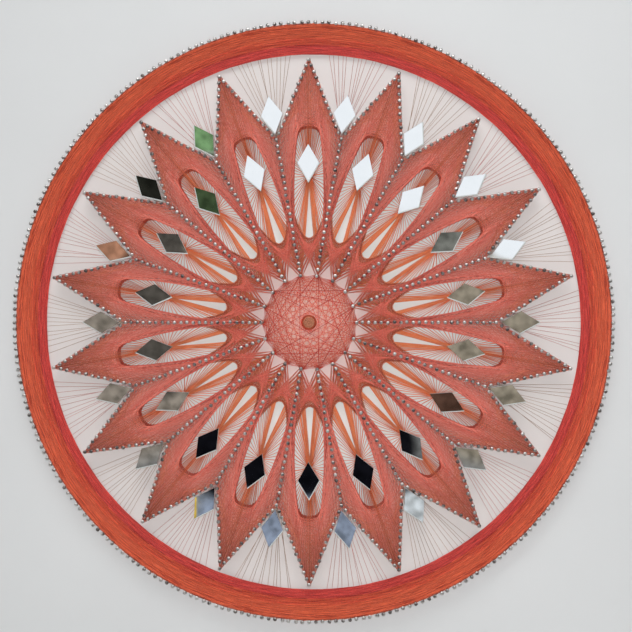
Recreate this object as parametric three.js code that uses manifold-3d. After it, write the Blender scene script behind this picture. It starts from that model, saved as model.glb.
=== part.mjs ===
// A string-art sun mandala: a square white board set with nails, thread wound round them in a rim,
// eighteen petals and a centre disc, rhombic mirrors on top, a copper stud in the middle, and a
// swinging hanging ring sunk into the back. Millimetres, +Z up, the pattern faces -Y.
// The origin is the middle of the board's back face, which lies against the wall.
import * as THREE from "three";
import { mergeVertices } from "three/addons/utils/BufferGeometryUtils.js";
import Module from "manifold-3d";

// Pattern: nail radii from the middle of the board
const PETALS = 18;
const TIP_RADIUS = 205;
const RIM_PAST_TIP = 29;
const RIM_RADIUS = TIP_RADIUS + RIM_PAST_TIP;
const NOTCH_RADIUS = 145;
const RIB_RADIUS = 91;
const HUB_RADIUS = 37;
const FAN_RADIUS = 115;
const SHOULDER_RUN = 10;

// Board
const BOARD_MARGIN = 31;
const BOARD_SIDE = 2 * (RIM_RADIUS + BOARD_MARGIN);
const BOARD_THICK = 18;

// Nails: those that the wound thread turns on, each row joined by a thin foot on the board
const NAIL_RADIUS = 0.75;
const NAIL_SIDES = 4;
const RIM_NAILS = 92;
const FOOT_WIDTH = 3;
const FOOT_THICK = 0.6;
const HEADROOM = 1.2;

// Thread: a plain core for the lower layers, and the outer layer wound as one tube
const THREAD_RADIUS = 0.25;
const THREAD_SIDES = 3;
const WEB_THICK = 1;
const RIM_CORE_THICK = 3.5;
const RIM_BAND = 21.5;
const RIM_INNER_RADIUS = RIM_RADIUS - RIM_BAND;
const RIM_SKIP = 13;
const RIM_TURNS = 8;
const DISC_SKIP = 5;
const DISC_PITCH = 1.15;
const PETAL_LEVELS = 5;
const TURN_PITCH = 1;
const WRAP_STEP = 1.3;

// Openings in the petals' thread
const OVAL_TOP = 151;
const OVAL_MIDDLE = 96;
const OVAL_BOTTOM = 65;
const OVAL_HALF_WIDTH = 13.5;
const WEDGE_TOP = 106;
const WEDGE_BOTTOM = 67;
const WEDGE_HALF_WIDTH = 4;
const WEB_INNER_RADIUS = 49;
const FAN_INNER_RADIUS = 62;
const HOLE_SIDES = 6;

// Mirrors: cut glass rhombi
const MIRROR_LONG = 30;
const MIRROR_SHORT = 17.4;
const MIRROR_THICK = 3;
const INNER_MIRROR_RADIUS = 123.6;
const MIRROR_PAST_NOTCH = 3.5;
const OUTER_MIRROR_RADIUS = NOTCH_RADIUS + MIRROR_PAST_NOTCH + MIRROR_LONG / 2;
const MIRROR_SKEW = 0.06;
const MIRROR_SKEW_STEP = 2.4;

// Centre stud
const STUD_RADIUS = 5.9;
const STUD_FLAT_RADIUS = 4.2;
const STUD_THICK = 5;
const STUD_BEVEL = 2;
const STUD_SHANK_RADIUS = 1.5;
const STUD_SIDES = 16;

// Hanger: a strap in a pocket of the back, whose knuckle holds a swinging ring
const HANGER_DROP = 75;
const HANGER_HEIGHT = BOARD_SIDE / 2 - HANGER_DROP;
const POCKET_DEPTH = 7;
const POCKET_MARGIN = 6;
const STRAP_WIDTH = 12;
const STRAP_LENGTH = 34;
const STRAP_THICK = 1.2;
const KNUCKLE_RADIUS = 2.9;
const RING_WIRE_RADIUS = 1.25;
const RING_WIDTH = 24;
const RING_HEIGHT = 17;
const RING_CORNER = 3;
const RING_WIRE_SIDES = 8;
const RING_CORNER_STEPS = 4;
const BORE_CLEARANCE = 0.4;
const SCREW_RADIUS = 1.5;
const SCREW_HEAD_RADIUS = 3;
const SCREW_HEAD_THICK = 1.8;
const SCREW_LENGTH = 8;
const SCREW_SIDES = 12;
const FIRST_SCREW_DROP = 10;
const SECOND_SCREW_DROP = 25;

// Gap left between pieces that touch
const GAP = 0.3;

// Heights above the board's front face, stacked from the board up
const footTop = GAP + FOOT_THICK;
const coreBase = footTop + GAP;
const aboveCore = GAP + THREAD_RADIUS;
const discLow = coreBase + WEB_THICK + aboveCore;
const discHigh = discLow + DISC_SKIP * DISC_PITCH;
const petalLow = discHigh + TURN_PITCH;
const petalHigh = petalLow + PETAL_LEVELS * TURN_PITCH;
const petalWebBase = petalLow - aboveCore - WEB_THICK;
const fanWebBase = petalWebBase - GAP - WEB_THICK;
const rimLow = coreBase + RIM_CORE_THICK + aboveCore;
const rimHigh = rimLow + RIM_TURNS * TURN_PITCH;
const nailTop = Math.max(petalHigh, rimHigh) + HEADROOM;
const mirrorBase = nailTop + GAP;

// Pattern angles and clearances
const petalAngle = (2 * Math.PI) / PETALS;
const halfPetal = petalAngle / 2;
const clear = NAIL_RADIUS + GAP;
const wrapRadius = clear + THREAD_RADIUS;

// Looks
const paint = new THREE.MeshStandardMaterial({ color: 0xe6e4e0, roughness: 0.6 });
const steel = new THREE.MeshStandardMaterial({ color: 0x8d8a88, roughness: 0.35, metalness: 1 });
const copper = new THREE.MeshStandardMaterial({ color: 0xb87a5c, roughness: 0.3, metalness: 1 });
const glass = new THREE.MeshStandardMaterial({ color: 0xd8dee0, roughness: 0.05, metalness: 1 });
const redThread = new THREE.MeshStandardMaterial({ color: 0xb23b3a, roughness: 0.8 });
const roseThread = new THREE.MeshStandardMaterial({ color: 0xb8524a, roughness: 0.8 });
const orangeThread = new THREE.MeshStandardMaterial({ color: 0xc7512f, roughness: 0.8 });
const fanThread = new THREE.MeshStandardMaterial({ color: 0xd08a62, roughness: 0.8 });

const wasm = await Module();
wasm.setup();

// A closed geometry as a solid that can be cut or joined.
function toSolid(geometry) {
  const bare = geometry.index ? geometry.clone() : geometry;
  bare.deleteAttribute("normal");
  bare.deleteAttribute("uv");
  const merged = mergeVertices(bare, 1e-4);
  const vertProperties = Float32Array.from(merged.attributes.position.array);
  const triVerts = Uint32Array.from(merged.index.array);
  return new wasm.Manifold(new wasm.Mesh({ numProp: 3, vertProperties, triVerts }));
}

// A solid as a geometry again.
function toGeometry(solid) {
  const mesh = solid.getMesh();
  const geometry = new THREE.BufferGeometry();
  geometry.setAttribute("position", new THREE.BufferAttribute(mesh.vertProperties, 3));
  geometry.setIndex(new THREE.BufferAttribute(mesh.triVerts, 1));
  geometry.computeVertexNormals();
  return geometry;
}

function addMesh(group, name, geometry, material) {
  const mesh = new THREE.Mesh(geometry, material);
  mesh.name = name;
  group.add(mesh);
  return mesh;
}

// A place on the board: radius from the middle, and angle from straight up, to the right.
function place(radius, angle) {
  return new THREE.Vector2(radius * Math.sin(angle), radius * Math.cos(angle));
}

// The direction of petal number k, from straight up.
function petalTurn(k) {
  return k * petalAngle;
}

// Two nails up a petal's tip edge from a notch, on the side given by -1 or 1.
function shoulder(k, side) {
  const notch = place(NOTCH_RADIUS, petalTurn(k) + side * halfPetal);
  const towardsTip = place(TIP_RADIUS, petalTurn(k)).sub(notch).setLength(SHOULDER_RUN);
  return notch.add(towardsTip);
}

// One ring of nails, joined by a flat foot that lies on the board.
function nailRing(places) {
  const radius = places[0].length();
  const start = places[0].angle();
  const outline = circle(radius + FOOT_WIDTH / 2, start);
  outline.holes.push(circle(radius - FOOT_WIDTH / 2, start));
  const foot = plate(outline, GAP, FOOT_THICK, Math.min(places.length, 2 * PETALS));
  const length = nailTop - GAP;
  const nail = new THREE.CylinderGeometry(NAIL_RADIUS, NAIL_RADIUS, length, NAIL_SIDES);
  nail.rotateX(Math.PI / 2);
  nail.translate(0, 0, GAP + length / 2);
  const shank = toSolid(nail);
  const nails = places.map((at) => shank.translate([at.x, at.y, 0]));
  return toGeometry(nails.reduce((all, one) => all.add(one), toSolid(foot)));
}

// A circle about the middle of the board, whose first corner lies at the given angle.
function circle(radius, start) {
  return new THREE.Shape().absarc(0, 0, radius, start, start + 2 * Math.PI);
}

// A flat piece of the given outline, from a height upwards. A full circle gets as many sides as given.
function plate(outline, base, thick, sides) {
  const options = { depth: thick, bevelEnabled: false, curveSegments: sides / 2 };
  const geometry = new THREE.ExtrudeGeometry(outline, options);
  geometry.translate(0, 0, base);
  return geometry;
}

// A flat piece with openings cut right through it.
function openPlate(outline, openings, base, thick, sides) {
  let solid = toSolid(plate(outline, base, thick, sides));
  for (const opening of openings) {
    solid = solid.subtract(toSolid(plate(opening, base - thick, 3 * thick, sides)));
  }
  return toGeometry(solid);
}

// A round hole that a nail passes through.
function nailHole(at) {
  return new THREE.Shape().absarc(at.x, at.y, clear / Math.cos(Math.PI / HOLE_SIDES), 0, 2 * Math.PI);
}

// The star of petals, drawn in from its nails.
function starOutline() {
  const tip = place(TIP_RADIUS, 0);
  const notch = place(NOTCH_RADIUS, halfPetal);
  const edge = tip.clone().sub(notch);
  const tipHalfAngle = Math.atan2(-edge.x, edge.y);
  const notchHalfAngle = tipHalfAngle + halfPetal;
  const tipInset = TIP_RADIUS - clear / Math.sin(tipHalfAngle);
  const notchInset = NOTCH_RADIUS - clear / Math.sin(notchHalfAngle);
  const points = [];
  for (let k = 0; k < PETALS; k++) {
    points.push(place(tipInset, petalTurn(k)));
    points.push(place(notchInset, petalTurn(k) + halfPetal));
  }
  return new THREE.Shape(points);
}

// The zigzag edge outside the hub nails and the disc's thread round them.
function hubZigzag(axisRadius) {
  const nailSide = HUB_RADIUS + wrapRadius + aboveCore;
  const points = [];
  for (let k = 0; k < PETALS; k++) {
    points.push(place(axisRadius, petalTurn(k)));
    points.push(place(nailSide, petalTurn(k) + halfPetal));
  }
  return new THREE.Shape(points);
}

// The egg-shaped opening of petal k: two half ellipses of one width.
function ovalOpening(k) {
  const oval = new THREE.Shape();
  const middle = place(OVAL_MIDDLE, petalTurn(k));
  const upper = OVAL_TOP - OVAL_MIDDLE;
  const lower = OVAL_MIDDLE - OVAL_BOTTOM;
  const turn = -petalTurn(k);
  oval.absellipse(middle.x, middle.y, OVAL_HALF_WIDTH, upper, 0, Math.PI, false, turn);
  oval.absellipse(middle.x, middle.y, OVAL_HALF_WIDTH, lower, Math.PI, 2 * Math.PI, false, turn);
  return oval;
}

// The white wedge below each mirror, where no fan thread runs.
function wedgeOpening(k) {
  const middle = place(WEDGE_BOTTOM, petalTurn(k));
  const across = place(WEDGE_HALF_WIDTH, petalTurn(k) + Math.PI / 2);
  return new THREE.Shape([
    place(WEDGE_TOP, petalTurn(k)),
    middle.clone().add(across),
    middle.clone().sub(across),
  ]);
}

function petalWeb() {
  const openings = [hubZigzag(WEB_INNER_RADIUS)];
  for (let k = 0; k < PETALS; k++) {
    openings.push(ovalOpening(k));
    openings.push(nailHole(place(RIB_RADIUS, petalTurn(k) + halfPetal)));
  }
  return openPlate(starOutline(), openings, petalWebBase, WEB_THICK, HOLE_SIDES);
}

function fanWeb() {
  const openings = [hubZigzag(FAN_INNER_RADIUS)];
  for (let k = 0; k < PETALS; k++) {
    openings.push(wedgeOpening(k));
    openings.push(nailHole(place(FAN_RADIUS, petalTurn(k))));
    openings.push(nailHole(place(RIB_RADIUS, petalTurn(k) + halfPetal)));
  }
  return openPlate(starOutline(), openings, fanWebBase, WEB_THICK, HOLE_SIDES);
}

function discWeb() {
  const outline = circle(HUB_RADIUS - clear, 0);
  outline.holes.push(circle(STUD_SHANK_RADIUS + GAP, 0));
  return plate(outline, coreBase, WEB_THICK, 2 * PETALS);
}

function rimCore() {
  const outline = circle(RIM_RADIUS - clear, 0);
  outline.holes.push(circle(RIM_INNER_RADIUS, 0));
  return plate(outline, coreBase, RIM_CORE_THICK, 4 * PETALS);
}

// The side of a nail that a taut thread passes, for its heading and its turn (1 left, -1 right).
function besideNail(nail, heading, turn) {
  const reach = turn * wrapRadius;
  return new THREE.Vector2(nail.x + reach * Math.sin(heading), nail.y - reach * Math.cos(heading));
}

// The heading of a taut thread between two nails that it passes on the sides given by their turns.
function tautHeading(from, to) {
  const run = to.nail.clone().sub(from.nail);
  return run.angle() + Math.asin(((from.turn - to.turn) * wrapRadius) / run.length());
}

// The points of a thread wound over a list of stops, each a nail, a turn and a height.
function threadRoute(stops) {
  const headings = stops.slice(1).map((stop, i) => tautHeading(stops[i], stop));
  const route = [];
  const addPoint = (stop, heading) => {
    const beside = besideNail(stop.nail, heading, stop.turn);
    route.push(new THREE.Vector3(beside.x, beside.y, stop.height));
  };
  addPoint(stops[0], headings[0]);
  for (let i = 1; i < stops.length - 1; i++) {
    const stop = stops[i];
    const left = THREE.MathUtils.euclideanModulo(headings[i] - headings[i - 1], 2 * Math.PI);
    const bend = stop.turn > 0 ? left : left - 2 * Math.PI;
    const steps = Math.ceil(Math.abs(bend) / WRAP_STEP);
    for (let s = 0; s <= steps; s++) {
      addPoint(stop, headings[i - 1] + (bend * s) / steps);
    }
  }
  addPoint(stops[stops.length - 1], headings[headings.length - 1]);
  return route;
}

// A round wire along points, its section kept upright, closed at its ends or joined to itself.
function wire(points, radius, sides, joined) {
  const up = new THREE.Vector3(0, 0, 1);
  const count = points.length;
  const positions = [];
  const index = [];
  points.forEach((point, i) => {
    const before = points[joined ? (i + count - 1) % count : Math.max(i - 1, 0)];
    const after = points[joined ? (i + 1) % count : Math.min(i + 1, count - 1)];
    const ahead = after.clone().sub(point).normalize().add(point.clone().sub(before).normalize());
    const side = new THREE.Vector3().crossVectors(ahead, up).normalize();
    const lift = new THREE.Vector3().crossVectors(side, ahead).normalize();
    for (let s = 0; s < sides; s++) {
      const angle = (2 * Math.PI * (s + 0.5)) / sides;
      const corner = point.clone();
      corner.addScaledVector(side, radius * Math.cos(angle));
      corner.addScaledVector(lift, radius * Math.sin(angle));
      positions.push(corner.x, corner.y, corner.z);
    }
  });
  const rings = joined ? count : count - 1;
  for (let i = 0; i < rings; i++) {
    const next = (i + 1) % count;
    for (let s = 0; s < sides; s++) {
      const t = (s + 1) % sides;
      index.push(i * sides + s, next * sides + s, i * sides + t);
      index.push(i * sides + t, next * sides + s, next * sides + t);
    }
  }
  if (!joined) {
    const last = (count - 1) * sides;
    for (let s = 1; s < sides - 1; s++) {
      index.push(0, s, s + 1);
      index.push(last, last + s + 1, last + s);
    }
  }
  const geometry = new THREE.BufferGeometry();
  geometry.setAttribute("position", new THREE.Float32BufferAttribute(positions, 3));
  geometry.setIndex(index);
  geometry.computeVertexNormals();
  return geometry;
}

// The least distance between two straight stretches.
function stretchDistance(a, b, c, d) {
  const u = b.clone().sub(a);
  const v = d.clone().sub(c);
  const w = a.clone().sub(c);
  const uu = u.dot(u);
  const uv = u.dot(v);
  const vv = v.dot(v);
  const uw = u.dot(w);
  const vw = v.dot(w);
  const spread = uu * vv - uv * uv;
  let s = spread > 1e-9 ? THREE.MathUtils.clamp((uv * vw - vv * uw) / spread, 0, 1) : 0;
  const t = THREE.MathUtils.clamp((uv * s + vw) / vv, 0, 1);
  s = THREE.MathUtils.clamp((uv * t - uw) / uu, 0, 1);
  return w.addScaledVector(u, s).addScaledVector(v, -t).length();
}

// Prints the least gap of a thread to itself, between stretches that aren't round the same bend.
function printLeastGap(name, route) {
  const ownBend = 2 * Math.PI * wrapRadius;
  const along = [0];
  route.slice(1).forEach((point, i) => along.push(along[i] + point.distanceTo(route[i])));
  let least = Infinity;
  for (let i = 0; i < route.length - 1; i++) {
    for (let j = i + 2; j < route.length - 1; j++) {
      if (along[j] - along[i + 1] > ownBend) {
        least = Math.min(least, stretchDistance(route[i], route[i + 1], route[j], route[j + 1]));
      }
    }
  }
  console.log(`${name}: least gap to itself ${(least - 2 * THREAD_RADIUS).toFixed(2)} mm`);
}

function woundThread(name, stops) {
  const route = threadRoute(stops);
  printLeastGap(name, route);
  return wire(route, THREAD_RADIUS, THREAD_SIDES, false);
}

// Thread that runs round a ring of nails, a fixed number of nails at a time, and climbs as it goes.
function ringStops(places, skip, turns, low, pitch) {
  const stops = [];
  const count = Math.floor((turns * places.length) / skip);
  for (let i = 0; i <= count; i++) {
    const height = low + (pitch * i * skip) / places.length;
    stops.push({ nail: places[places.length - 1 - ((i * skip) % places.length)], turn: 1, height });
  }
  return stops;
}

// One thread through every petal in turn. It climbs in one petal and comes down in the next, so
// that both meet at one height on the hub nail that they share.
function petalStops() {
  const stops = [];
  for (let k = 0; k < PETALS; k++) {
    const turn = petalTurn(k);
    const tip = place(TIP_RADIUS, turn);
    const ribLeft = place(RIB_RADIUS, turn - halfPetal);
    const ribRight = place(RIB_RADIUS, turn + halfPetal);
    const notchLeft = place(NOTCH_RADIUS, turn - halfPetal);
    const notchRight = place(NOTCH_RADIUS, turn + halfPetal);
    const shoulderLeft = shoulder(k, -1);
    const shoulderRight = shoulder(k, 1);
    const hubLeft = place(HUB_RADIUS, turn - halfPetal);
    const order = [
      [hubLeft, 1, 0],
      [shoulderLeft, -1, 0],
      [tip, -1, 1],
      [ribLeft, -1, 1],
      [notchLeft, -1, 2],
      [shoulderRight, -1, 2],
      [notchRight, -1, 2],
      [ribRight, -1, 3],
      [tip, 1, 3],
      [shoulderLeft, 1, 4],
      [notchRight, 1, 4],
      [shoulderRight, 1, 5],
    ];
    const climbing = k % 2 === 0;
    for (const [nail, side, level] of order) {
      const height = petalLow + TURN_PITCH * (climbing ? level : PETAL_LEVELS - level);
      stops.push({ nail, turn: side, height });
    }
  }
  return stops;
}

// A rhombic mirror, its long way along the radius.
function mirror() {
  const rhombus = new THREE.Shape([
    new THREE.Vector2(0, MIRROR_LONG / 2),
    new THREE.Vector2(-MIRROR_SHORT / 2, 0),
    new THREE.Vector2(0, -MIRROR_LONG / 2),
    new THREE.Vector2(MIRROR_SHORT / 2, 0),
  ]);
  return plate(rhombus, 0, MIRROR_THICK, 1);
}

// A ring of mirrors, each set by hand and so a little askew.
function addMirrors(group, prefix, radius, offset) {
  for (let k = 0; k < PETALS; k++) {
    const turn = petalTurn(k) + offset;
    const at = place(radius, turn);
    const name = `${prefix}_${String(k + 1).padStart(2, "0")}`;
    const mesh = addMesh(group, name, mirror(), glass);
    mesh.position.set(at.x, at.y, mirrorBase);
    mesh.rotation.z = MIRROR_SKEW * Math.sin(MIRROR_SKEW_STEP * k + offset) - turn;
  }
}

// The copper stud: a shank on the board and a flat-topped head with a broad bevel.
function centreStud() {
  const headBase = discHigh + aboveCore;
  const top = headBase + STUD_THICK;
  const profile = [
    new THREE.Vector2(0, GAP),
    new THREE.Vector2(STUD_SHANK_RADIUS, GAP),
    new THREE.Vector2(STUD_SHANK_RADIUS, headBase),
    new THREE.Vector2(STUD_RADIUS, headBase),
    new THREE.Vector2(STUD_RADIUS, top - STUD_BEVEL),
    new THREE.Vector2(STUD_FLAT_RADIUS, top),
    new THREE.Vector2(0, top),
  ];
  return new THREE.LatheGeometry(profile, STUD_SIDES).rotateX(Math.PI / 2);
}

// Hanger places, measured from the wall face
const pocketFloor = -POCKET_DEPTH;
const strapTop = pocketFloor + GAP + STRAP_THICK;
const knuckleDepth = pocketFloor + GAP + KNUCKLE_RADIUS;
const screwHeights = [HANGER_HEIGHT - FIRST_SCREW_DROP, HANGER_HEIGHT - SECOND_SCREW_DROP];

// A round pin along Y, from one depth to another.
function pin(radius, from, to, height) {
  const geometry = new THREE.CylinderGeometry(radius, radius, to - from, SCREW_SIDES);
  geometry.translate(0, (from + to) / 2, height);
  return toSolid(geometry);
}

// The painted board, with the hanger's pocket and its screws' holes in the back.
function board() {
  const slab = new THREE.BoxGeometry(BOARD_SIDE, BOARD_THICK, BOARD_SIDE);
  slab.translate(0, -BOARD_THICK / 2, 0);
  const top = HANGER_HEIGHT + RING_HEIGHT + RING_WIRE_RADIUS + POCKET_MARGIN;
  const bottom = HANGER_HEIGHT - STRAP_LENGTH - POCKET_MARGIN;
  const width = RING_WIDTH + 2 * (RING_WIRE_RADIUS + POCKET_MARGIN);
  const pocket = new THREE.BoxGeometry(width, 2 * POCKET_DEPTH, top - bottom);
  pocket.translate(0, 0, (top + bottom) / 2);
  const holeEnd = strapTop + GAP - SCREW_LENGTH - GAP;
  let solid = toSolid(slab).subtract(toSolid(pocket));
  for (const height of screwHeights) {
    solid = solid.subtract(pin(SCREW_RADIUS + GAP, holeEnd, 0, height));
  }
  return toGeometry(solid);
}

// The steel strap: a flat strip whose upper end curls into a knuckle, drilled for two screws.
function strap() {
  const curlEnd = Math.PI + Math.asin((KNUCKLE_RADIUS - STRAP_THICK) / KNUCKLE_RADIUS);
  const outline = new THREE.Shape();
  outline.moveTo(-STRAP_LENGTH, -KNUCKLE_RADIUS);
  outline.lineTo(0, -KNUCKLE_RADIUS);
  outline.absarc(0, 0, KNUCKLE_RADIUS, -Math.PI / 2, curlEnd);
  outline.lineTo(-STRAP_LENGTH, STRAP_THICK - KNUCKLE_RADIUS);
  const bore = RING_WIRE_RADIUS + BORE_CLEARANCE;
  outline.holes.push(new THREE.Path().absarc(0, 0, bore, 0, 2 * Math.PI));
  const strip = plate(outline, -STRAP_WIDTH / 2, STRAP_WIDTH, SCREW_SIDES);
  const along = new THREE.Vector3(0, 0, 1);
  const outwards = new THREE.Vector3(0, 1, 0);
  const across = new THREE.Vector3(-1, 0, 0);
  strip.applyMatrix4(new THREE.Matrix4().makeBasis(along, outwards, across));
  strip.translate(0, knuckleDepth, HANGER_HEIGHT);
  let solid = toSolid(strip);
  for (const height of screwHeights) {
    solid = solid.subtract(pin(SCREW_RADIUS + GAP, pocketFloor, strapTop + GAP, height));
  }
  return toGeometry(solid);
}

// The hanging ring: a straight bar in the knuckle, short corners and a round top.
function ring() {
  const half = RING_WIDTH / 2;
  const shoulderHeight = RING_HEIGHT - half;
  const outline = new THREE.Shape();
  outline.moveTo(RING_CORNER - half, 0);
  outline.lineTo(half - RING_CORNER, 0);
  outline.absarc(half - RING_CORNER, RING_CORNER, RING_CORNER, -Math.PI / 2, 0);
  outline.absarc(0, shoulderHeight, half, 0, Math.PI);
  outline.absarc(RING_CORNER - half, RING_CORNER, RING_CORNER, Math.PI, 1.5 * Math.PI);
  const flat = outline.getPoints(RING_CORNER_STEPS).filter((p, i, all) => p.distanceTo(all[(i + 1) % all.length]) > 1e-6);
  const points = flat.map((p) => new THREE.Vector3(p.x, p.y, 0));
  return wire(points, RING_WIRE_RADIUS, RING_WIRE_SIDES, true);
}

function screw() {
  const profile = [
    new THREE.Vector2(0, -SCREW_LENGTH),
    new THREE.Vector2(SCREW_RADIUS, -SCREW_LENGTH),
    new THREE.Vector2(SCREW_RADIUS, 0),
    new THREE.Vector2(SCREW_HEAD_RADIUS, 0),
    new THREE.Vector2(SCREW_HEAD_RADIUS, SCREW_HEAD_THICK / 2),
    new THREE.Vector2(SCREW_HEAD_RADIUS / 2, SCREW_HEAD_THICK),
    new THREE.Vector2(0, SCREW_HEAD_THICK),
  ];
  return new THREE.LatheGeometry(profile, SCREW_SIDES);
}

// Nail places
const ringPlaces = (radius, offset) =>
  Array.from({ length: PETALS }, (_, k) => place(radius, petalTurn(k) + offset));
const rimPlaces = Array.from({ length: RIM_NAILS }, (_, k) => place(RIM_RADIUS, (2 * Math.PI * k) / RIM_NAILS));
const hubPlaces = ringPlaces(HUB_RADIUS, halfPetal);
const shoulderPlaces = Array.from({ length: 2 * PETALS }, (_, i) =>
  shoulder(Math.floor(i / 2), i % 2 === 0 ? -1 : 1));

const mandala = new THREE.Group();
addMesh(mandala, "backing_board", board(), paint);

// The front: drawn flat as right, up and height above the board, then turned to face -Y
const front = new THREE.Group();
front.position.y = -BOARD_THICK;
front.rotation.x = Math.PI / 2;
mandala.add(front);

addMesh(front, "rim_nails", nailRing(rimPlaces), steel);
addMesh(front, "tip_nails", nailRing(ringPlaces(TIP_RADIUS, 0)), steel);
addMesh(front, "shoulder_nails", nailRing(shoulderPlaces), steel);
addMesh(front, "notch_nails", nailRing(ringPlaces(NOTCH_RADIUS, halfPetal)), steel);
addMesh(front, "rib_nails", nailRing(ringPlaces(RIB_RADIUS, halfPetal)), steel);
addMesh(front, "hub_nails", nailRing(hubPlaces), steel);
addMesh(front, "fan_nails", nailRing(ringPlaces(FAN_RADIUS, 0)), steel);
addMesh(front, "outer_mirror_nails", nailRing(ringPlaces(OUTER_MIRROR_RADIUS, halfPetal)), steel);

addMesh(front, "rim_thread_core", rimCore(), redThread);
const rimStops = ringStops(rimPlaces, RIM_SKIP, RIM_TURNS, rimLow, TURN_PITCH);
addMesh(front, "rim_thread", woundThread("rim_thread", rimStops), orangeThread);
addMesh(front, "fan_thread", fanWeb(), fanThread);
addMesh(front, "petal_thread_core", petalWeb(), roseThread);
addMesh(front, "petal_thread", woundThread("petal_thread", petalStops()), redThread);
addMesh(front, "disc_thread_core", discWeb(), roseThread);
const discStops = ringStops(hubPlaces, DISC_SKIP, DISC_SKIP, discLow, DISC_PITCH);
addMesh(front, "disc_thread", woundThread("disc_thread", discStops), redThread);

addMirrors(front, "inner_mirror", INNER_MIRROR_RADIUS, 0);
addMirrors(front, "outer_mirror", OUTER_MIRROR_RADIUS, halfPetal);
addMesh(front, "centre_stud", centreStud(), copper);

addMesh(mandala, "hanger_strap", strap(), steel);
const hangingRing = addMesh(mandala, "hanging_ring", ring(), steel);
hangingRing.position.set(0, knuckleDepth, HANGER_HEIGHT);
hangingRing.rotation.x = Math.PI / 2;
const screwNames = ["upper_hanger_screw", "lower_hanger_screw"];
screwNames.forEach((name, i) => {
  addMesh(mandala, name, screw(), steel).position.set(0, strapTop + GAP, screwHeights[i]);
});

export default mandala;
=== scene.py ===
# %% [markdown]
# # A string-art sun mandala
# The real object is a white board with nearly twelve hundred nails in it. Cotton thread runs between
# them in straight taut stretches, and where many stretches cross, curves and solid colour appear.
# Small rhombic mirrors lie on top, a copper stud closes the middle, and a ring in the back hangs it
# up. The lesson goes through camera, nail places, thread from the rim inwards, nails, mirrors, stud,
# board, hanger and light.

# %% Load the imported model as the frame
import math
import random

import bmesh
import bpy
from mathutils import Matrix, Vector


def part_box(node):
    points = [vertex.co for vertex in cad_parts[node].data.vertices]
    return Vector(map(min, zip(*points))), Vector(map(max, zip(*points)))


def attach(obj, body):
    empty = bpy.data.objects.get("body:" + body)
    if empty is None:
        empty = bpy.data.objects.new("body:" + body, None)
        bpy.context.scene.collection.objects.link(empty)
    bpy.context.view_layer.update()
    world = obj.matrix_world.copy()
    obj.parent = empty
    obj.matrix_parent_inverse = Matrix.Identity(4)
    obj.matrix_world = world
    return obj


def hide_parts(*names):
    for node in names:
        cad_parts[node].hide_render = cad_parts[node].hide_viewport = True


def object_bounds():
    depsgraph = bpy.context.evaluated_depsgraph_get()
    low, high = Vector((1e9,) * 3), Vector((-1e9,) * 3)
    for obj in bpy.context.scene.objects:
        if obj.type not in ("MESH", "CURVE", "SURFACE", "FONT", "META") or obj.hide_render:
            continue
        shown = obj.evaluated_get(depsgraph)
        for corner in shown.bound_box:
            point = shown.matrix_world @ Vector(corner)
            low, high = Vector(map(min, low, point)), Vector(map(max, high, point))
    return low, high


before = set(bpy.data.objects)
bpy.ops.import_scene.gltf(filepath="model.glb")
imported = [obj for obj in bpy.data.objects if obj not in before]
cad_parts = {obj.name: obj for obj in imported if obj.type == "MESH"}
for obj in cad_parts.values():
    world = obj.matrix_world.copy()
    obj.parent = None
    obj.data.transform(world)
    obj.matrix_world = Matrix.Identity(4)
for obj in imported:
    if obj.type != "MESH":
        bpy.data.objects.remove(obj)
cad_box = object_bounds()
scene = bpy.context.scene
scene.view_settings.view_transform = "Standard"

# %% [markdown]
# ## Camera
# The photograph fits a camera that stands about 0.9 m away, 6 cm to the right of the middle, and looks
# almost straight on, with the board filling the picture. It could be aimed with a Track To constraint,
# but that keeps it level. Writing its three directions down, right, up and back, keeps the slight roll
# of a camera that is held by hand.

# %% Place the camera
CAMERA_PLACE = Vector((0.0632, -0.9274, 0.0105))
CAMERA_AHEAD = Vector((-0.0642, 0.9979, -0.0061)).normalized()
CAMERA_RIGHT = Vector((0.9979, 0.0642, -0.0012)).normalized()

camera_data = bpy.data.cameras.new("camera")
camera_data.sensor_width = 36.0
camera_data.lens = 65.5
camera = bpy.data.objects.new("camera", camera_data)
scene.collection.objects.link(camera)
camera_up = CAMERA_RIGHT.cross(CAMERA_AHEAD).normalized()
turned = Matrix((CAMERA_AHEAD.cross(camera_up), camera_up, -CAMERA_AHEAD)).transposed().to_4x4()
camera.matrix_world = Matrix.Translation(CAMERA_PLACE) @ turned
scene.camera = camera
print("camera lens", camera_data.lens, "mm at", tuple(round(v, 3) for v in CAMERA_PLACE))

# %% [markdown]
# ## Where the nails stand
# Every thread starts and ends on a nail, so the nail places come first. The pattern is drawn flat in
# millimetres: x to the right, y up, z away from the board. One petal's nails are numbered along its
# outline, from the left hub nail out along the dividing line to the notch, up to the tip and back
# down the other side. Numbers on an outline make every winding rule below a short sum.

# %% Nail places in millimetres
PETALS = 18
PETAL_ANGLE = math.tau / PETALS
HUB_RADIUS, NOTCH_RADIUS, TIP_RADIUS = 37.0, 145.0, 205.0
FAN_RADIUS, RIM_RADIUS = 115.0, 234.0
LINE_SPACES, EDGE_SPACES, RIM_NAILS = 22, 13, 276
TIP = LINE_SPACES + EDGE_SPACES
LAST = 2 * TIP


def place(radius, angle, height=0.0):
    return Vector((radius * math.sin(angle), radius * math.cos(angle), height))


def nails_between(start, end, spaces):
    return [start.lerp(end, i / spaces) for i in range(spaces)]


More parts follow.
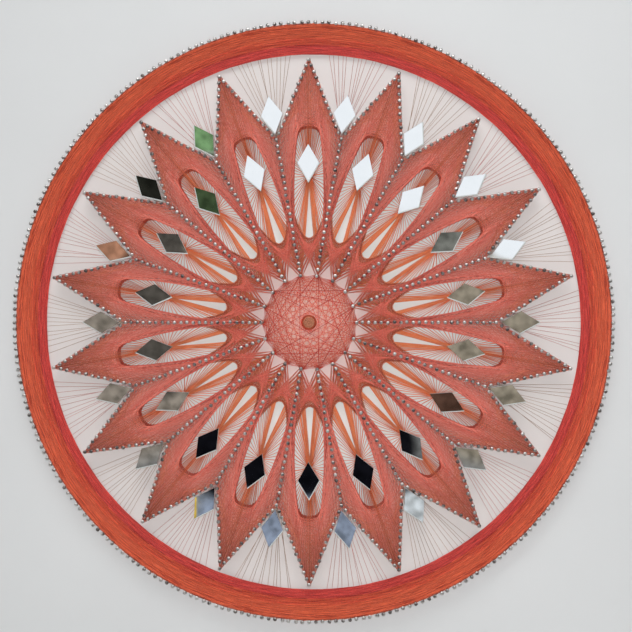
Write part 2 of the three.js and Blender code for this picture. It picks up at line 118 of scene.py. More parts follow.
def petal_outline(k):
    middle, half = k * PETAL_ANGLE, PETAL_ANGLE / 2
    corners = [
        place(HUB_RADIUS, middle - half),
        place(NOTCH_RADIUS, middle - half),
        place(TIP_RADIUS, middle),
        place(NOTCH_RADIUS, middle + half),
        place(HUB_RADIUS, middle + half),
    ]
    spaces = [LINE_SPACES, EDGE_SPACES, EDGE_SPACES, LINE_SPACES]
    outline = []
    for start, end, count in zip(corners, corners[1:], spaces):
        outline += nails_between(start, end, count)
    return outline + [corners[-1]]


def rim_nail(i):
    return place(RIM_RADIUS, math.tau * i / RIM_NAILS)


print("one petal has", len(petal_outline(0)), "nail places, the rim has", RIM_NAILS)

# %% [markdown]
# ## Turning a bmesh into a piece
# Each piece is modelled flat in one bmesh. One matrix scales it to metres and stands it up on the
# board's front face. The place could go into the object's own transform, but here it goes into the
# mesh, so every object stays at the origin like the CAD nodes. The piece then rides on the CAD body
# that it belongs to, and the CAD nodes that it stands for are hidden.

# %% A helper that finishes a piece
MILLIMETRE = 0.001
board_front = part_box("backing_board")[0].y
STAND_UP = Matrix.Rotation(math.pi / 2, 4, "X")
ON_BOARD = Matrix.Translation((0, board_front, 0)) @ STAND_UP @ Matrix.Scale(MILLIMETRE, 4)


def finish_piece(bm, name, materials, replaces=()):
    bmesh.ops.transform(bm, matrix=ON_BOARD, verts=bm.verts)
    mesh = bpy.data.meshes.new(name)
    bm.to_mesh(mesh)
    bm.free()
    for material in materials:
        mesh.materials.append(material)
    piece = bpy.data.objects.new(name, mesh)
    scene.collection.objects.link(piece)
    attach(piece, "panel")
    if replaces:
        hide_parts(*replaces)
    print(name, "has", sum(len(face.vertices) - 2 for face in mesh.polygons), "triangles")


print("pieces stand on the board's front, at y", round(board_front, 4))

# %% [markdown]
# ## Node helpers
# A procedural finish is a small graph of nodes. In the editor each node is added and wired by hand;
# in a script a few helpers keep the graphs short. One starts a material with its Principled shader,
# one adds any node and sets or links its inputs, and the rest are what comes up most: a wire to the
# shader, colours, mixing, sums, map ranges, noise and the distance from the middle.

# %% Helpers that add nodes
def new_finish(name, roughness, metallic=0.0):
    material = bpy.data.materials.new(name)
    material.use_nodes = True
    shader = material.node_tree.nodes["Principled BSDF"]
    shader.inputs["Roughness"].default_value = roughness
    shader.inputs["Metallic"].default_value = metallic
    return material, shader


def set_input(tree, socket, value):
    if isinstance(value, bpy.types.NodeSocket):
        tree.links.new(value, socket)
    else:
        socket.default_value = value


def add_node(tree, kind, settings=None, **inputs):
    node = tree.nodes.new(kind)
    for key, value in (settings or {}).items():
        setattr(node, key, value)
    for key, value in inputs.items():
        numbered = key[0] == "i" and key[1:].isdigit()
        set_input(tree, node.inputs[int(key[1:])] if numbered else node.inputs[key], value)
    return node


def feed(shader, socket, value):
    shader.id_data.links.new(value, shader.inputs[socket])


print("node helpers ready for", bpy.app.version_string)

# %% Helpers for colours, sums and patterns
def linear(red, green, blue):
    def channel(value):
        share = value / 255
        return share / 12.92 if share <= 0.04045 else ((share + 0.055) / 1.055) ** 2.4

    return (channel(red), channel(green), channel(blue), 1.0)


def mixed(tree, factor, first, second, blend="MIX"):
    node = add_node(tree, "ShaderNodeMix", {"data_type": "RGBA", "blend_type": blend})
    for index, value in ((0, factor), (6, first), (7, second)):
        set_input(tree, node.inputs[index], value)
    return node.outputs[2]


def math_of(tree, operation, first, second=0.0, third=0.0):
    return add_node(
        tree, "ShaderNodeMath", {"operation": operation}, i0=first, i1=second, i2=third
    ).outputs[0]


def ramp(tree, value, start, end, low=0.0, high=1.0):
    return add_node(
        tree, "ShaderNodeMapRange", None, i0=value, i1=start, i2=end, i3=low, i4=high
    ).outputs[0]


def object_place(tree):
    return add_node(tree, "ShaderNodeTexCoord").outputs["Object"]


def noise(tree, where, scale, detail):
    return add_node(
        tree, "ShaderNodeTexNoise", None, Vector=where, Scale=scale, Detail=detail
    ).outputs[0]


def axis_distance(tree, axes):
    squares = [math_of(tree, "POWER", axes.outputs[name], 2.0) for name in ("X", "Z")]
    return math_of(tree, "SQRT", math_of(tree, "ADD", *squares))


print("middle grey in linear light is", round(linear(128, 128, 128)[0], 3))

# %% [markdown]
# ## Thread finish
# Cotton thread is two plies twisted together, slightly fuzzy and uneven in its dye. A plain colour
# would melt the strands into one sheet. Here the twist runs on the thread's own UV map, where u goes
# round the thread and v along it, and every stretch carries a random number that shifts it between
# its colour and a deeper one. That lets the eye see single threads in a solid field. The twist's
# grooves get painted shade, a shift towards the deeper colour. Sheen gives the fuzz.

# %% One graph for all threads
TWIST_PITCH = 1.2
STRAND_SHARE, DYE_SHARE, GROOVE_SHADE_SHARE = 0.9, 0.2, 0.2
COTTON_GLOSS = 0.5


def thread_finish(name, colour, deep, gloss=COTTON_GLOSS):
    material, shader = new_finish(name, 0.5)
    tree = material.node_tree
    strand = add_node(tree, "ShaderNodeAttribute", {"attribute_name": "strand"}).outputs["Fac"]
    round_and_along = add_node(tree, "ShaderNodeUVMap", {"uv_map": "thread"}).outputs["UV"]
    axes = add_node(tree, "ShaderNodeSeparateXYZ", None, Vector=round_and_along)
    phase = math_of(tree, "ADD", axes.outputs["X"], axes.outputs["Y"])
    wave = math_of(tree, "SINE", math_of(tree, "MULTIPLY", phase, math.tau))
    ply = math_of(tree, "MULTIPLY_ADD", wave, 0.5, 0.5)
    dye = math_of(tree, "MULTIPLY", noise(tree, object_place(tree), 38.0, 4.0), DYE_SHARE)
    uneven = math_of(tree, "ADD", math_of(tree, "MULTIPLY", strand, STRAND_SHARE), dye)
    tone = mixed(tree, uneven, linear(*deep), linear(*colour))
    # painted shade: the grooves of the twist shift towards the deeper colour
    groove_shade = math_of(tree, "MULTIPLY", ply, GROOVE_SHADE_SHARE)
    feed(shader, "Base Color", mixed(tree, groove_shade, tone, linear(*deep)))
    bump = add_node(tree, "ShaderNodeBump", {"invert": True}, Strength=0.35, Distance=0.0001, Height=ply)
    feed(shader, "Normal", bump.outputs["Normal"])
    shader.inputs["Sheen Weight"].default_value = 0.15
    shader.inputs["Sheen Roughness"].default_value = 0.5
    shader.inputs["Specular IOR Level"].default_value = gloss
    return material


print("the twist repeats every", TWIST_PITCH, "mm")

# %% The thread colours
DISC_GLOSS, DULL_GLOSS = 0.3, 0.2

crimson_thread = thread_finish("crimson_thread", (244, 92, 82), (152, 24, 28))
vermilion_thread = thread_finish("vermilion_thread", (250, 100, 72), (154, 28, 20))
orange_thread = thread_finish("orange_thread", (254, 124, 84), (152, 34, 16))
rose_thread = thread_finish("rose_thread", (255, 202, 186), (242, 120, 104))
coral_thread = thread_finish("coral_thread", (255, 146, 126), (214, 78, 64))
brick_thread = thread_finish("brick_thread", (255, 154, 136), (216, 88, 74))
umber_thread = thread_finish("umber_thread", (255, 156, 118), (202, 90, 62))
garnet_thread = thread_finish("garnet_thread", (188, 68, 50), (148, 44, 34))
tan_thread = thread_finish("tan_thread", (232, 142, 98), (196, 102, 66), DULL_GLOSS)
fan_thread = thread_finish("fan_thread", (250, 136, 86), (222, 100, 56), DULL_GLOSS)
band_thread = thread_finish("band_thread", (254, 160, 110), (232, 122, 78), DULL_GLOSS)
russet_thread = thread_finish("russet_thread", (232, 124, 82), (186, 82, 52), DULL_GLOSS)
pink_thread = thread_finish("pink_thread", (216, 146, 140), (186, 108, 104))
beige_thread = thread_finish("beige_thread", (198, 166, 144), (160, 124, 102))
disc_thread = thread_finish("disc_thread", (255, 212, 190), (255, 174, 148), DISC_GLOSS)
net_thread = thread_finish("net_thread", (255, 96, 72), (236, 62, 46), DISC_GLOSS)
ruby_thread = thread_finish("ruby_thread", (226, 78, 66), (206, 60, 52), DISC_GLOSS)
print("thread colours:", sum(material.name.endswith("_thread") for material in bpy.data.materials))

# %% [markdown]
# ## One stretch of thread
# A stretch could be a curve with a round bevel, but there are about thirty thousand of them, and a
# four-sided bar with smooth shading already looks round at this size. create_cone makes the bar along
# z, and a matrix turns it from one nail to the other. Taut thread never ends at a nail's middle: it
# passes on one side or the other, so each end is moved sideways by the radius at which it wraps. A
# little random slack in place and height keeps it from looking machine-made.

# %% A bmesh that carries thread
def start_thread():
    bm = bmesh.new()
    bm.verts.layers.float.new("strand")
    bm.loops.layers.uv.new("thread")
    return bm


def lay_uv(bm, faces, length):
    uv = bm.loops.layers.uv["thread"]
    for face in faces:
        face.smooth = len(face.verts) == 4
        for loop in face.loops:
            # u is 0 along one long edge of the bar's side and 1 along the other
            far = loop.vert.tag
            next_at_same_end = loop.link_loop_next.vert.tag == far
            loop[uv].uv = (float(next_at_same_end == far), length / TWIST_PITCH if far else 0.0)


print("each stretch carries a strand number and a UV map")

# %% One taut stretch, and repeating it round the board
THREAD_RADIUS = 0.14
WRAP_RADIUS, WRAP_SLACK, HEIGHT_SLACK = 1.0, 0.16, 0.1
WRAPS = [(1, 1), (-1, -1), (1, -1), (-1, 1)]
wind = random.Random(7)


def stretch(bm, start, end, height, wrap=(1, 1), rise=0.0, radius=THREAD_RADIUS):
    run = end - start
    across = Vector((-run.y, run.x, 0)).normalized() * WRAP_RADIUS
    first = start + across * (wrap[0] + wind.uniform(-WRAP_SLACK, WRAP_SLACK))
    last = end + across * (wrap[1] + wind.uniform(-WRAP_SLACK, WRAP_SLACK))
    first.z = height + wind.uniform(-HEIGHT_SLACK, HEIGHT_SLACK)
    last.z = height + rise + wind.uniform(-HEIGHT_SLACK, HEIGHT_SLACK)
    run = last - first
    turn = run.to_track_quat("Z", "Y").to_matrix().to_4x4()
    bar = bmesh.ops.create_cone(
        bm, cap_ends=True, segments=4, radius1=radius, radius2=radius, depth=run.length,
        matrix=Matrix.Translation((first + last) / 2) @ turn,
    )
    strand = bm.verts.layers.float["strand"]
    shade = wind.random()
    for vert in bar["verts"]:
        vert[strand] = shade
        vert.tag = (vert.co - last).length < run.length / 2
    lay_uv(bm, {face for vert in bar["verts"] for face in vert.link_faces}, run.length)


def repeat_round(bm, copies, angle):
    everything = bm.verts[:] + bm.edges[:] + bm.faces[:]
    bmesh.ops.spin(
        bm, geom=everything, cent=(0, 0, 0), axis=(0, 0, -1), dvec=(0, 0, 0),
        angle=angle * copies, steps=copies, use_duplicate=True,
    )


print("thread is", 2 * THREAD_RADIUS, "mm thick and turns", WRAP_RADIUS, "mm from a nail's axis")

# %% [markdown]
# ## Rim
# The rim is wound round 276 nails. Jumping a fixed number of nails at a time draws a ring whose inner
# edge is a smooth circle: the longer the jump, the deeper the ring. Crimson thread with the longest
# jumps lies lowest and shows as the dark inner edge, vermilion covers the step above it, and orange
# with shorter jumps covers the rest. A bent flat tube could stand for the band, but only single
# stretches show its woven streaks. The thread passes inside the nails, which keep a clear outer edge.
# Twelve neighbouring nails are wound one by one, and spun round the board 23 times.

# %% Wind the rim
RIM_RUN = 12
RIM_REPEATS = RIM_NAILS // RIM_RUN
RIM_ROUND = (RIM_REPEATS - 1, math.tau / RIM_REPEATS)
RIM_WRAPS = [(-1, -1), (-1, -0.2), (-0.2, -1), (-0.6, -0.6)]
RIM_THREAD_RADIUS = 0.19
RIM_TOP, RIM_FALL, RIM_RISE = 13.6, 0.29, 0.5


def wind_rim(name, finish, jumps, turns, replaces=()):
    bm = start_thread()
    for jump in jumps:
        for turn in range(turns):
            height = RIM_TOP - RIM_FALL * jump + RIM_RISE * turn
            wrap = RIM_WRAPS[(jump // 2 + turn) % len(RIM_WRAPS)]
            for i in range(RIM_RUN):
                stretch(bm, rim_nail(i), rim_nail(i + jump), height, wrap, radius=RIM_THREAD_RADIUS)
    repeat_round(bm, *RIM_ROUND)
    finish_piece(bm, name, [finish], replaces)


wind_rim("rim_crimson_thread", crimson_thread, range(34, 39), 3, ["rim_thread_core"])
wind_rim("rim_vermilion_thread", vermilion_thread, range(27, 34, 2), 2)
wind_rim("rim_orange_thread", orange_thread, range(9, 32, 2), 2, ["rim_thread"])

# %% [markdown]
# ## Two ways to wind a petal
# Inside a petal the rim's rule works on an outline with corners: thread that jumps a fixed number of
# nails leaves an egg-shaped opening. A second rule joins the two dividing lines, so that the two nail
# numbers always add up to the same sum, which closes the opening with a round bottom. All eighteen
# petals could be wound one by one. Winding three, each with its own slack, and spinning them round
# six times costs a sixth of the time, and no two neighbours are alike.

# %% Helpers that wind petals
VARIANTS = 3
PETAL_ROUND = (PETALS // VARIANTS - 1, PETAL_ANGLE * VARIANTS)


def layer_height(heights, step, layers):
    low, high = heights
    return low + (high - low) * step / (layers - 1)


def jump_along(bm, outline, jumps, first, heights):
    for step, jump in enumerate(jumps):
        height = layer_height(heights, step, len(jumps))
        for i in range(first, LAST - first - jump + 1):
            stretch(bm, outline[i], outline[i + jump], height, WRAPS[step % len(WRAPS)])


def join_lines(bm, outline, sums, heights):
    for step, total in enumerate(sums):
        height = layer_height(heights, step, len(sums))
        for i in range(total + 1):
            stretch(bm, outline[i], outline[LAST - total + i], height, WRAPS[step % len(WRAPS)])


def wind_petals(name, winder, finish, replaces=()):
    bm = start_thread()
    for k in range(VARIANTS):
        winder(bm, petal_outline(k))
    repeat_round(bm, *PETAL_ROUND)
    finish_piece(bm, name, [finish], replaces)


print(VARIANTS, "petals are wound, and repeated", PETALS // VARIANTS, "times")

# %% [markdown]
# ## Field and opening
# The field is the solid rose-red body of a petal. Its thread never starts below the twelfth nail of a
# dividing line, so it stays clear of the hub. Over it lie two brick-red layers with longer jumps,
# which start almost at the hub and draw the long sides of the opening. One layer with all jumps would
# give the same outline, but not the step in tone that the real petals have.

# %% Wind the field and the opening
FIELD_FIRST, OPENING_FIRST = 11, 2
FIELD_JUMPS = [12, 14, 16, 18, 20, 13, 15, 17, 19, 20]
OPENING_JUMPS = [20, 21]
FIELD_HEIGHTS, OPENING_HEIGHTS = (9.4, 12.4), (12.6, 13.6)


def wind_field(bm, outline):
    jump_along(bm, outline, FIELD_JUMPS, FIELD_FIRST, FIELD_HEIGHTS)


def wind_opening(bm, outline):
    jump_along(bm, outline, OPENING_JUMPS, OPENING_FIRST, OPENING_HEIGHTS)


wind_petals("petal_field_thread", wind_field, rose_thread, ["petal_thread"])
wind_petals("petal_opening_thread", wind_opening, brick_thread)

# %% [markdown]
# ## Tips
# Towards the tip the petals turn browner, because fine umber thread crosses there from one edge to the
# other. Only stretches that reach or pass the tip nail are wound, so the colour fades out below by
# itself.

# %% Wind the tips
TIP_JUMPS = [10, 13, 16]
TIP_HEIGHT, TIP_RISE = 12.6, 0.4
FINE_RADIUS = 0.12


def wind_tip(bm, outline):
    for step, jump in enumerate(TIP_JUMPS):
        height = TIP_HEIGHT + TIP_RISE * step
        for i in range(TIP - jump, TIP + 1):
            stretch(bm, outline[i], outline[i + jump], height, WRAPS[step], radius=FINE_RADIUS)


wind_petals("petal_tip_thread", wind_tip, umber_thread)

# %% [markdown]
# ## Dark outline of the opening
# A thin dark line runs round each opening, where many stretches stack. It could be one bent tube, but
# here fine garnet thread, a layer with a slightly longer jump under the field, shows past it; its dark
# tone is partly painted shade for the stacking. One sum closes the line at the bottom.

# %% Wind the outline
EDGE_JUMP, EDGE_SUM = 22, 12
EDGE_WRAPS = [(0.3, 0.3), (-0.3, -0.3), (0.9, 0.9)]
EDGE_HEIGHT, EDGE_RISE, EDGE_FOOT = 8.9, 0.15, 8.3


def wind_edge(bm, outline):
    for step, wrap in enumerate(EDGE_WRAPS):
        height = EDGE_HEIGHT + EDGE_RISE * step
        for i in range(OPENING_FIRST, LAST - OPENING_FIRST - EDGE_JUMP + 1):
            stretch(bm, outline[i], outline[i + EDGE_JUMP], height, wrap, radius=FINE_RADIUS)
    for i in range(EDGE_SUM + 1):
        far_nail = outline[LAST - EDGE_SUM + i]
        stretch(bm, outline[i], far_nail, EDGE_FOOT, EDGE_WRAPS[0], radius=FINE_RADIUS)


wind_petals("petal_edge_thread", wind_edge, garnet_thread)

# %% [markdown]
# ## Bottom of the opening
# Two layers join the dividing lines. Tan thread with the larger sums shows as a pale crescent at the
# bottom of the opening, and coral thread with smaller sums lies over it and runs down to the hub,
# where it leaves small white triangles.

# %% Wind the crescent and the lower thread
MOON_SUMS, LOWER_SUMS = [12, 11, 12, 11], [10, 9, 10, 8, 9]
MOON_HEIGHTS, LOWER_HEIGHTS = (7.6, 8.1), (8.6, 11.0)


def wind_moon(bm, outline):
    join_lines(bm, outline, MOON_SUMS, MOON_HEIGHTS)


def wind_lower(bm, outline):
    join_lines(bm, outline, LOWER_SUMS, LOWER_HEIGHTS)


wind_petals("petal_moon_thread", wind_moon, tan_thread)
wind_petals("petal_lower_thread", wind_lower, coral_thread, ["petal_thread_core"])

# %% [markdown]
# ## Fans
# Behind the red thread, pale orange thread runs from one nail on each petal's axis to every nail of the
# petal. It is sparse, so the white board shows through. It goes several times to the nails near the
# hub, which makes two firm bands with a white wedge between them. Russet streaks run over the field to
# the nails at the tip. A sheet with a striped, see-through material would have fewer faces, but it
# would look flat from the side.

# %% Wind the fans and bands
FAN_HEIGHT, BAND_HEIGHT, TIP_BAND_HEIGHT = 6.7, 7.0, 7.2
FAN_SPREAD, BAND_SPREAD, TIP_BAND_SPREAD = 0.12, 0.7, 0.4
FAN_THREAD_RADIUS, BAND_THREAD_RADIUS = 0.17, 0.13
FAN_TURNS, BUNDLE_RISE, TIP_REACH = 2, 0.12, 2
BAND_TURNS = [7, 7, 4, 3, 3, 2, 2]


def fan_knot(outline):
    return (outline[0] + outline[LAST]).normalized() * FAN_RADIUS


def bundle(bm, outline, nail, turns, height, spread, radius=BAND_THREAD_RADIUS):
    for turn in range(turns):
        wrap = (wind.uniform(-spread, spread), wind.uniform(-spread, spread))
        stretch(bm, fan_knot(outline), nail, height + BUNDLE_RISE * turn, wrap, radius=radius)


def wind_fan(bm, outline):
    for nail in outline:
        bundle(bm, outline, nail, FAN_TURNS, FAN_HEIGHT, FAN_SPREAD, FAN_THREAD_RADIUS)


def wind_bands(bm, outline):
    for i, turns in enumerate(BAND_TURNS):
        for nail in (outline[i], outline[LAST - i]):
            bundle(bm, outline, nail, turns, BAND_HEIGHT, BAND_SPREAD)
    for nail in outline[TIP - TIP_REACH : TIP + TIP_REACH + 1]:
        bundle(bm, outline, nail, FAN_TURNS, TIP_BAND_HEIGHT, TIP_BAND_SPREAD)


wind_petals("fan_thread_runs", wind_fan, fan_thread, ["fan_thread"])
wind_petals("band_thread_runs", wind_bands, band_thread)

# %% Wind the streaks at the tips
STREAK_TURNS = [2, 2, 1, 1, 1, 1, 1, 1]
STREAK_HEIGHT, STREAK_SPREAD, STREAK_RADIUS = 13.8, 0.6, 0.11


def wind_streaks(bm, outline):
    for i, turns in enumerate(STREAK_TURNS):
        for nail in (outline[TIP - i], outline[TIP + i]):
            bundle(bm, outline, nail, turns, STREAK_HEIGHT, STREAK_SPREAD, STREAK_RADIUS)


wind_petals("tip_streak_runs", wind_streaks, russet_thread)

# %% [markdown]
# ## Sprays
# From each notch nail thirteen single threads spread to the rim and end low, under its band, in pink
# at one notch and beige at the next. They are the only places where single threads stand free on
# white, so they are wound one by one and not spun.

# %% Wind the sprays
SPRAY_REACH = 6
SPRAY_HEIGHT, SPRAY_RISE = 5.6, -3.6


def wind_sprays(name, finish, first):
    bm = start_thread()
    for k in range(first, PETALS, 2):
        angle = (k + 0.5) * PETAL_ANGLE
        notch = place(NOTCH_RADIUS, angle)
        nearest = round(angle / math.tau * RIM_NAILS)
        for j in range(-SPRAY_REACH, SPRAY_REACH + 1):
            stretch(bm, notch, rim_nail(nearest + j), SPRAY_HEIGHT, wind.choice(WRAPS), SPRAY_RISE)
    finish_piece(bm, name, [finish])


wind_sprays("pink_sprays", pink_thread, 0)
wind_sprays("beige_sprays", beige_thread, 1)

# %% [markdown]
# ## Disc
# The eighteen hub nails carry the disc in the middle. Chords of eight lengths cross, and their
# envelopes make circles inside each other. Seen close, the disc is lace: pale thread below, a net of
# thin red thread over it, and a few darker chords on top. One dense layer would look like felt, so
# the three layers are wound apart, each in its own tone.

# %% Wind the disc
DISC_JUMPS = [1, 2, 3, 4, 5, 6, 7, 8]
GROUND_JUMPS, CHORD_JUMPS = DISC_JUMPS[2:], [6, 8, 5]
GROUND_HEIGHTS, NET_HEIGHTS, CHORD_HEIGHTS = (2.2, 3.6), (4.6, 6.6), (7.8, 8.4)
GROUND_RADIUS, CHORD_RADIUS = 0.15, 0.16
CHORD_STEP = 3


def hub_nail(k):
    return place(HUB_RADIUS, (k + 0.5) * PETAL_ANGLE)


def wind_disc(name, finish, jumps, wraps, heights, radius, replaces=(), step_over=1):
    bm = start_thread()
    for step, jump in enumerate(jumps):
        height = layer_height(heights, step, len(jumps))
        for k in range(0, PETALS, step_over):
            for wrap in wraps:
                stretch(bm, hub_nail(k), hub_nail(k + jump), height, wrap, radius=radius)
    finish_piece(bm, name, [finish], replaces)


wind_disc(
    "disc_ground_runs", disc_thread, GROUND_JUMPS, WRAPS[:2], GROUND_HEIGHTS, GROUND_RADIUS,
    ["disc_thread_core"],
)
wind_disc(
    "disc_net_runs", net_thread, DISC_JUMPS, WRAPS[3:], NET_HEIGHTS, FINE_RADIUS, ["disc_thread"]
)
wind_disc(
    "disc_chord_runs", ruby_thread, CHORD_JUMPS, WRAPS[:1], CHORD_HEIGHTS, CHORD_RADIUS,
    step_over=CHORD_STEP,
)

# %% [markdown]
# ## Nail steel
# The nails are bright steel wire that has begun to tarnish, so that some heads flash and others are
# nearly black. One grey would make them look like beads. Noise in object space with features about as
# large as the nails' spacing gives each nail its own tone and its own roughness.

# %% Nail steel
steel, steel_shader = new_finish("nail_steel", 0.36, 1.0)
tree = steel.node_tree
blotch = noise(tree, object_place(tree), 260.0, 3.0)
tarnish = ramp(tree, blotch, 0.36, 0.62)
feed(steel_shader, "Base Color", mixed(tree, tarnish, linear(112, 106, 104), linear(232, 230, 228)))
feed(steel_shader, "Roughness", math_of(tree, "MULTIPLY_ADD", blotch, 0.3, 0.2))
print(steel.name, "has", len(tree.nodes), "nodes")

# %% [markdown]
# ## Nails
# A wire nail is a round shank with a flat, slightly domed head. A cylinder with a second one on top
# would do, but spinning a short profile round the axis makes both in one closed shape. It has eight
# sides, because it is repeated more than a thousand times. Thread wound round the shank makes a ridged
# bobbin below the head, from another profile. Nails are set by hand, so each leans a little.

# %% Spinning a profile
def spin_profile(bm, profile, steps):
    ring = [bm.verts.new((radius, 0, height)) for radius, height in profile]
    edges = [bm.edges.new(pair) for pair in zip(ring, ring[1:])]
    before = set(bm.verts)
    bmesh.ops.spin(
        bm, geom=ring + edges, cent=(0, 0, 0), axis=(0, 0, 1), dvec=(0, 0, 0),
        angle=math.tau, steps=steps, use_merge=True,
    )
    made = ring + [vert for vert in bm.verts if vert not in before]
    bmesh.ops.remove_doubles(bm, verts=made, dist=0.0005)
    bmesh.ops.recalc_face_normals(bm, faces=bm.faces)


print("spin_profile closes the seam and the poles, and turns the faces outwards")

# %% One nail and its winding
NAIL_SIDES, WINDING_SIDES, WINDING_RIDGES = 8, 6, 4
SHANK_RADIUS, HEAD_RADIUS, DOME_RADIUS = 0.75, 1.5, 0.95
RIDGE_RADIUS, GROOVE_RADIUS, RIDGE_SHARE = 1.05, 0.9, 0.35
SHANK_TOP, HEAD_LOW, HEAD_HIGH, DOME_HIGH, NAIL_TOP = 14.6, 14.9, 15.2, 15.6, 15.7
NAIL_PROFILE = [
    (0, 0), (SHANK_RADIUS, 0), (SHANK_RADIUS, SHANK_TOP), (HEAD_RADIUS, HEAD_LOW),
    (HEAD_RADIUS, HEAD_HIGH), (DOME_RADIUS, DOME_HIGH), (0, NAIL_TOP),
]


def winding_profile(low, high):
    pitch = (high - low) / WINDING_RIDGES
    profile = [(SHANK_RADIUS, low)]
    for ridge in range(WINDING_RIDGES):
        base = low + pitch * ridge
        profile += [(RIDGE_RADIUS, base + RIDGE_SHARE * pitch), (GROOVE_RADIUS, base + pitch)]
    return profile + [(SHANK_RADIUS, high)]


print("a nail stands", NAIL_TOP, "mm out of the board, with a", 2 * HEAD_RADIUS, "mm head")

# %% A helper that sets rows of nails
NAIL_LEAN = 0.03
hand = random.Random(3)


def vertices_of(items):
    return [item for item in items if isinstance(item, bmesh.types.BMVert)]


def nail_rows(profile, sides, places, rounds, thread=False):
    bm = start_thread() if thread else bmesh.new()
    spin_profile(bm, profile, sides)
    for face in bm.faces:
        face.smooth = True
    pattern = bm.verts[:] + bm.edges[:] + bm.faces[:]
    for at in places:
        copy = vertices_of(bmesh.ops.duplicate(bm, geom=pattern)["geom"])
        lean = Matrix.Rotation(hand.uniform(0, NAIL_LEAN), 4, place(1.0, hand.uniform(0, math.tau)))
        bmesh.ops.transform(bm, matrix=Matrix.Translation(at) @ lean, verts=copy)
    bmesh.ops.delete(bm, geom=vertices_of(pattern), context="VERTS")
    repeat_round(bm, *rounds)
    return bm


print("nails lean up to", round(math.degrees(NAIL_LEAN), 1), "degrees")

# %% Set the nails
MIRROR_PAST_NOTCH = 18.5
OUTER_MIRROR_RADIUS = NOTCH_RADIUS + MIRROR_PAST_NOTCH
PATTERN_ROWS = ["tip", "shoulder", "notch", "rib", "hub", "fan", "outer_mirror"]
petal_places, inner_places = [], []
for k in range(VARIANTS):
    petal_places += petal_outline(k)[: TIP + EDGE_SPACES]
    inner_places.append(place(FAN_RADIUS, k * PETAL_ANGLE))
    inner_places.append(place(OUTER_MIRROR_RADIUS, (k + 0.5) * PETAL_ANGLE))
rim_places = [rim_nail(i) for i in range(RIM_RUN)]

bm = nail_rows(NAIL_PROFILE, NAIL_SIDES, petal_places + inner_places, PETAL_ROUND)
finish_piece(bm, "pattern_nails", [steel], [row + "_nails" for row in PATTERN_ROWS])
bm = nail_rows(NAIL_PROFILE, NAIL_SIDES, rim_places, RIM_ROUND)
finish_piece(bm, "rim_nail_row", [steel], ["rim_nails"])
print("nails set:", PETALS // VARIANTS * len(petal_places + inner_places) + RIM_NAILS)

# %% Wind thread round the shanks
PETAL_WINDING, RIM_WINDING = (7.6, 14.0), (2.0, 10.0)

bm = nail_rows(winding_profile(*PETAL_WINDING), WINDING_SIDES, petal_places, PETAL_ROUND, True)
finish_piece(bm, "petal_nail_windings", [brick_thread])
bm = nail_rows(winding_profile(*RIM_WINDING), WINDING_SIDES, rim_places, RIM_ROUND, True)
finish_piece(bm, "rim_nail_windings", [orange_thread])

# %% [markdown]
# ## Mirrors
# The mirrors are rhombi cut from 3 mm silvered glass. The front is a clean mirror with faint smudges,
# and the cut sides are ground, so they are pale and dull. A four-sided create_cone, scaled to the two
# lengths of the rhombus, is the blank. Only the edges that face down and outwards get a bevel in the
# pale edge material, a painted highlight for the bright line that light puts there. They were laid by
# hand, so each is turned and tipped a little, which also makes neighbours reflect different things.

# %% Silvered front
silvered, silvered_shader = new_finish("silvered_glass", 0.02, 1.0)
tree = silvered.node_tree
smudge = noise(tree, object_place(tree), 120.0, 5.0)
feed(silvered_shader, "Base Color", mixed(tree, smudge, (0.86, 0.89, 0.90, 1), (0.93, 0.95, 0.96, 1)))
feed(silvered_shader, "Roughness", math_of(tree, "MULTIPLY", smudge, 0.04))
print(silvered.name, "has", len(tree.nodes), "nodes")

# %% Ground edge
ground, ground_shader = new_finish("ground_glass_edge", 0.4)
tree = ground.node_tree
grit = noise(tree, object_place(tree), 1500.0, 2.0)
feed(ground_shader, "Base Color", mixed(tree, grit, linear(206, 222, 220), linear(250, 252, 252)))
bump = add_node(tree, "ShaderNodeBump", None, Strength=0.4, Distance=0.0001, Height=grit)
feed(ground_shader, "Normal", bump.outputs["Normal"])
print(ground.name, "has", len(tree.nodes), "nodes")

# %% Cut one mirror
MIRROR_LONG, MIRROR_SHORT, MIRROR_THICK = 30.0, 17.4, 3.0
HIGHLIGHT_BEVEL_WIDTH, HIGHLIGHT_FACING, HIGHLIGHT_DOWNWARD = 0.75, 0.45, 1.5


def top_edges(bm):
    top = MIRROR_THICK / 2 - 0.001
    return [edge for edge in bm.edges if all(vert.co.z > top for vert in edge.verts)]


# a bevel on the top edges of the sides that face down and outwards: a painted highlight
def bevel_highlight_edges(bm, facing):
    sides = [
        face for face in bm.faces
        if abs(face.normal.z) < 0.5 and face.normal.dot(facing) > HIGHLIGHT_FACING
    ]
    edges = [edge for edge in top_edges(bm) if any(face in sides for face in edge.link_faces)]
    bmesh.ops.bevel(
        bm, geom=edges, offset=HIGHLIGHT_BEVEL_WIDTH, offset_type="OFFSET", segments=1, profile=0.5,
        affect="EDGES", material=-1,
    )


def cut_mirror(turn):
    bm = bmesh.new()
    blank = bmesh.ops.create_cone(
        bm, cap_ends=True, segments=4, radius1=0.5, radius2=0.5, depth=MIRROR_THICK
    )
    bmesh.ops.scale(bm, verts=blank["verts"], vec=(MIRROR_SHORT, MIRROR_LONG, 1.0))
    bm.normal_update()
    # the painted highlight goes on the edges that face outwards and down
    highlight_side = place(1.0, turn) + Vector((0, -HIGHLIGHT_DOWNWARD, 0))
    bevel_highlight_edges(bm, Matrix.Rotation(turn, 3, "Z") @ highlight_side.normalized())
    bm.normal_update()
    for face in bm.faces:
        face.material_index = 0 if face.normal.z > 0.99 else 1
    return bm


print("a mirror is", MIRROR_LONG, "by", MIRROR_SHORT, "by", MIRROR_THICK, "mm")

